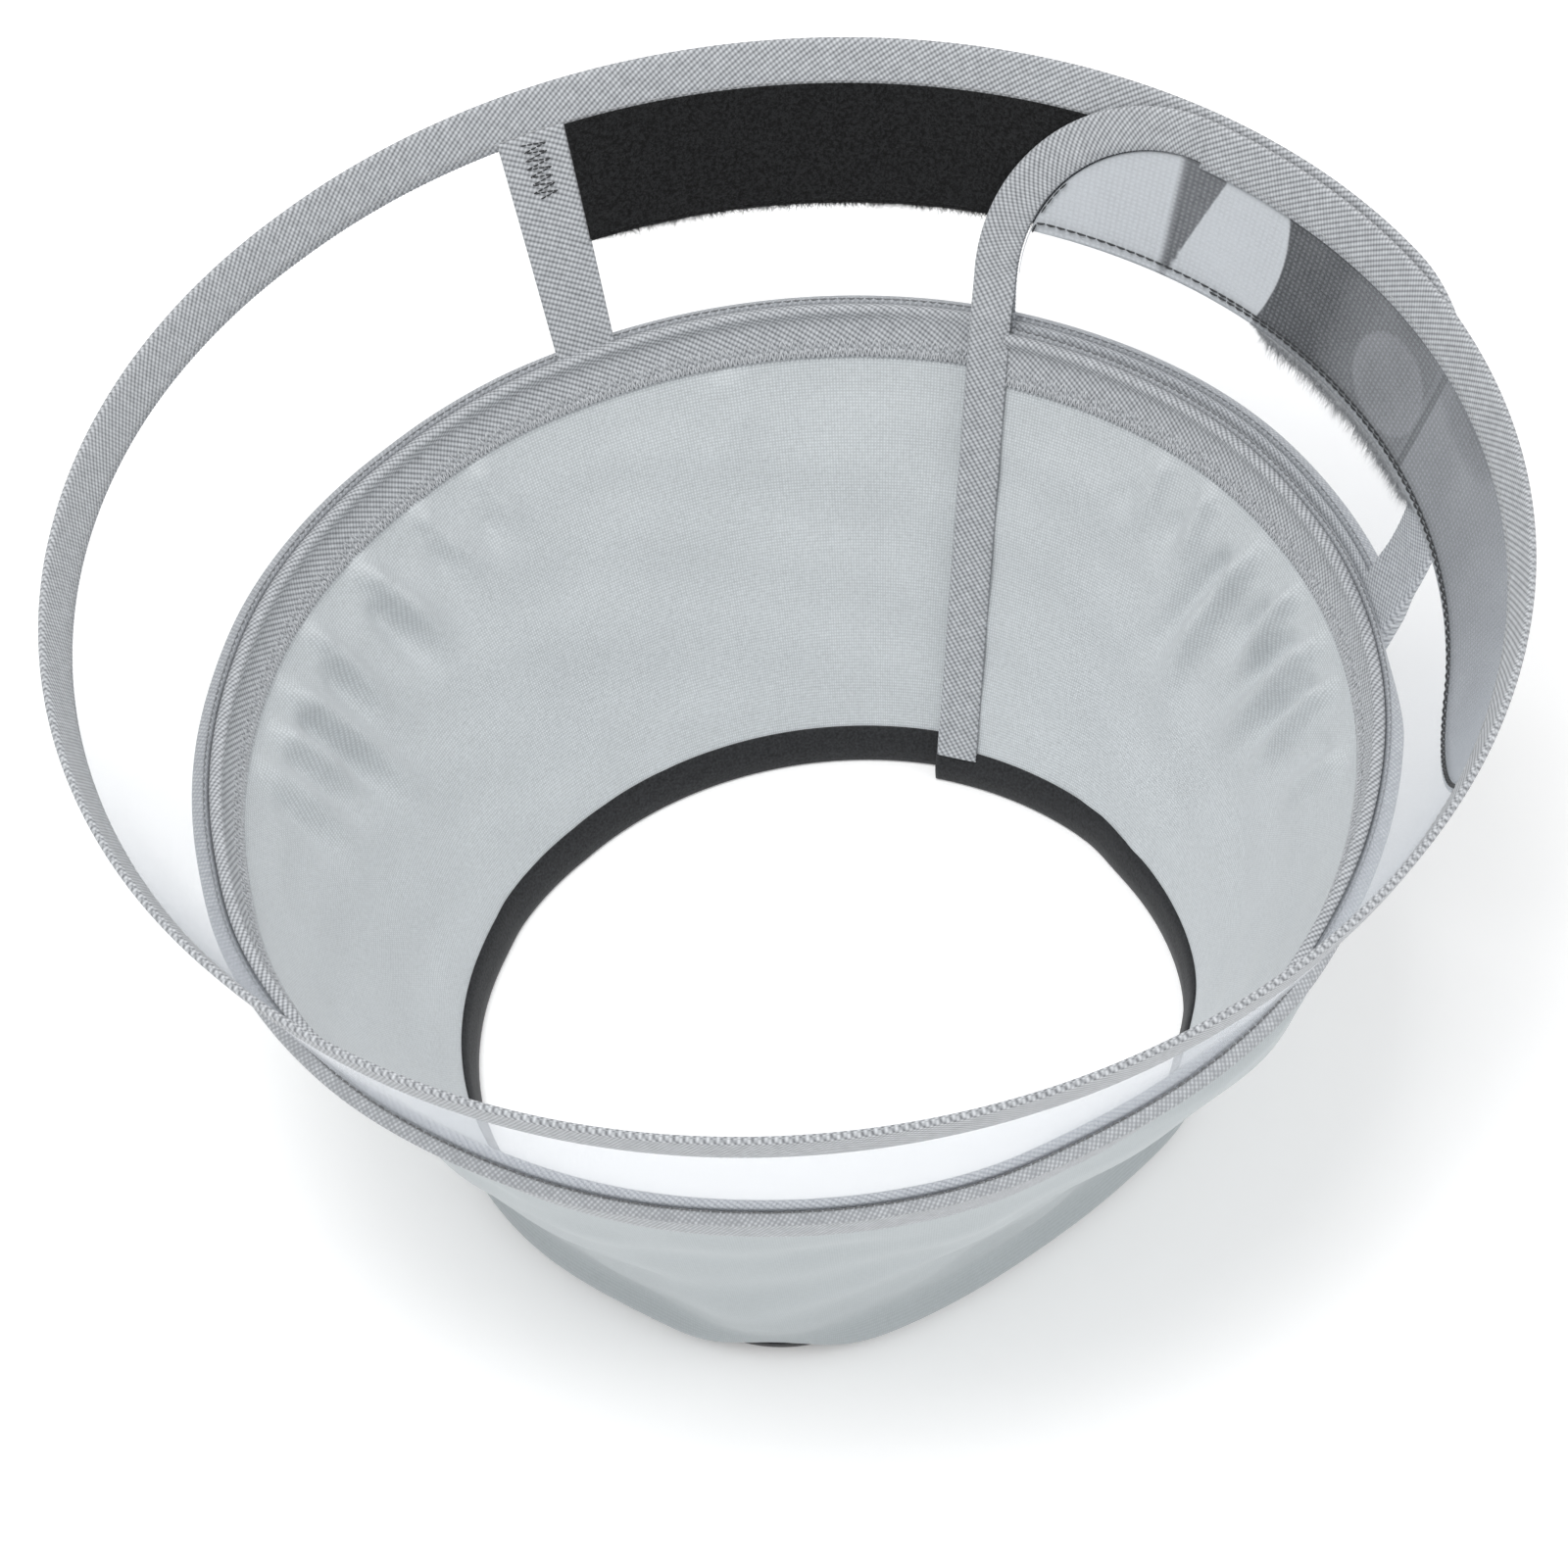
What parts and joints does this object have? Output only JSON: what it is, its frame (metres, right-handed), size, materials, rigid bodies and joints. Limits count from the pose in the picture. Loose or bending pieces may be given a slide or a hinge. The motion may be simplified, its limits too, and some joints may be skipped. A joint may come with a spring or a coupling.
{
  "type": "elizabethan collar",
  "caption": "Pet recovery cone: a padded fabric lower band and a clear film upper band, edges bound in tape, with two overlapping ends held by hook-and-loop strips.",
  "frame": {"origin": "centre of the neck opening, on the plane the neck ring rests on", "axes": "+Z along the cone's axis from neck to mouth; +Y towards the middle of the back, where the two ends overlap on the +X side; +X to the right seen from -Y"},
  "size_m": [0.4513, 0.4558, 0.2338],
  "materials": {
    "clear_film": "clear, glossy",
    "lining_cloth": "light grey plain weave",
    "cover_cloth": "light grey plain weave",
    "foam": "open-cell foam sheet",
    "binding_tape": "mid-grey twill tape",
    "neck_tape": "black binding",
    "hook_tape": "light grey hook tape on a translucent backing",
    "loop_tape": "charcoal loop pile"
  },
  "bodies": {
    "front": {"front_film": "clear_film", "front_lining": "lining_cloth", "front_padding": "foam", "front_outer_cover": "cover_cloth", "front_rim_binding": "binding_tape", "front_seam_tape_inner": "binding_tape", "front_seam_tape_outer": "binding_tape", "front_neck_binding": "neck_tape", "front_hook_strip": "hook_tape"},
    "flap": {"flap_film": "clear_film", "flap_lining": "lining_cloth", "flap_padding": "foam", "flap_outer_cover": "cover_cloth", "flap_rim_binding": "binding_tape", "flap_seam_tape_inner": "binding_tape", "flap_seam_tape_outer": "binding_tape", "flap_neck_binding": "neck_tape", "flap_end_binding": "binding_tape", "flap_hook_strip": "hook_tape", "flap_low_hook_strip": "hook_tape"},
    "tail": {"tail_film": "clear_film", "tail_lining": "lining_cloth", "tail_padding": "foam", "tail_outer_cover": "cover_cloth", "tail_rim_binding": "binding_tape", "tail_seam_tape_inner": "binding_tape", "tail_seam_tape_outer": "binding_tape", "tail_neck_binding": "neck_tape", "tail_end_binding": "binding_tape", "tail_loop_strip": "loop_tape", "tail_low_loop_strip": "loop_tape", "tail_stay_tape": "binding_tape"}
  },
  "joints": [
    {"name": "flap_swing", "type": "hinge", "parent": "front", "child": "flap", "pos_m": [0.1647, 0.01441, 0.10971], "axis": [0.4179, 0.0366, 0.9078], "range_deg": [0, 60]},
    {"name": "tail_swing", "type": "hinge", "parent": "front", "child": "tail", "pos_m": [-0.10852, 0.12932, 0.10809], "axis": [-0.2696, 0.3213, 0.9078], "range_deg": [0, 60]}
  ]
}
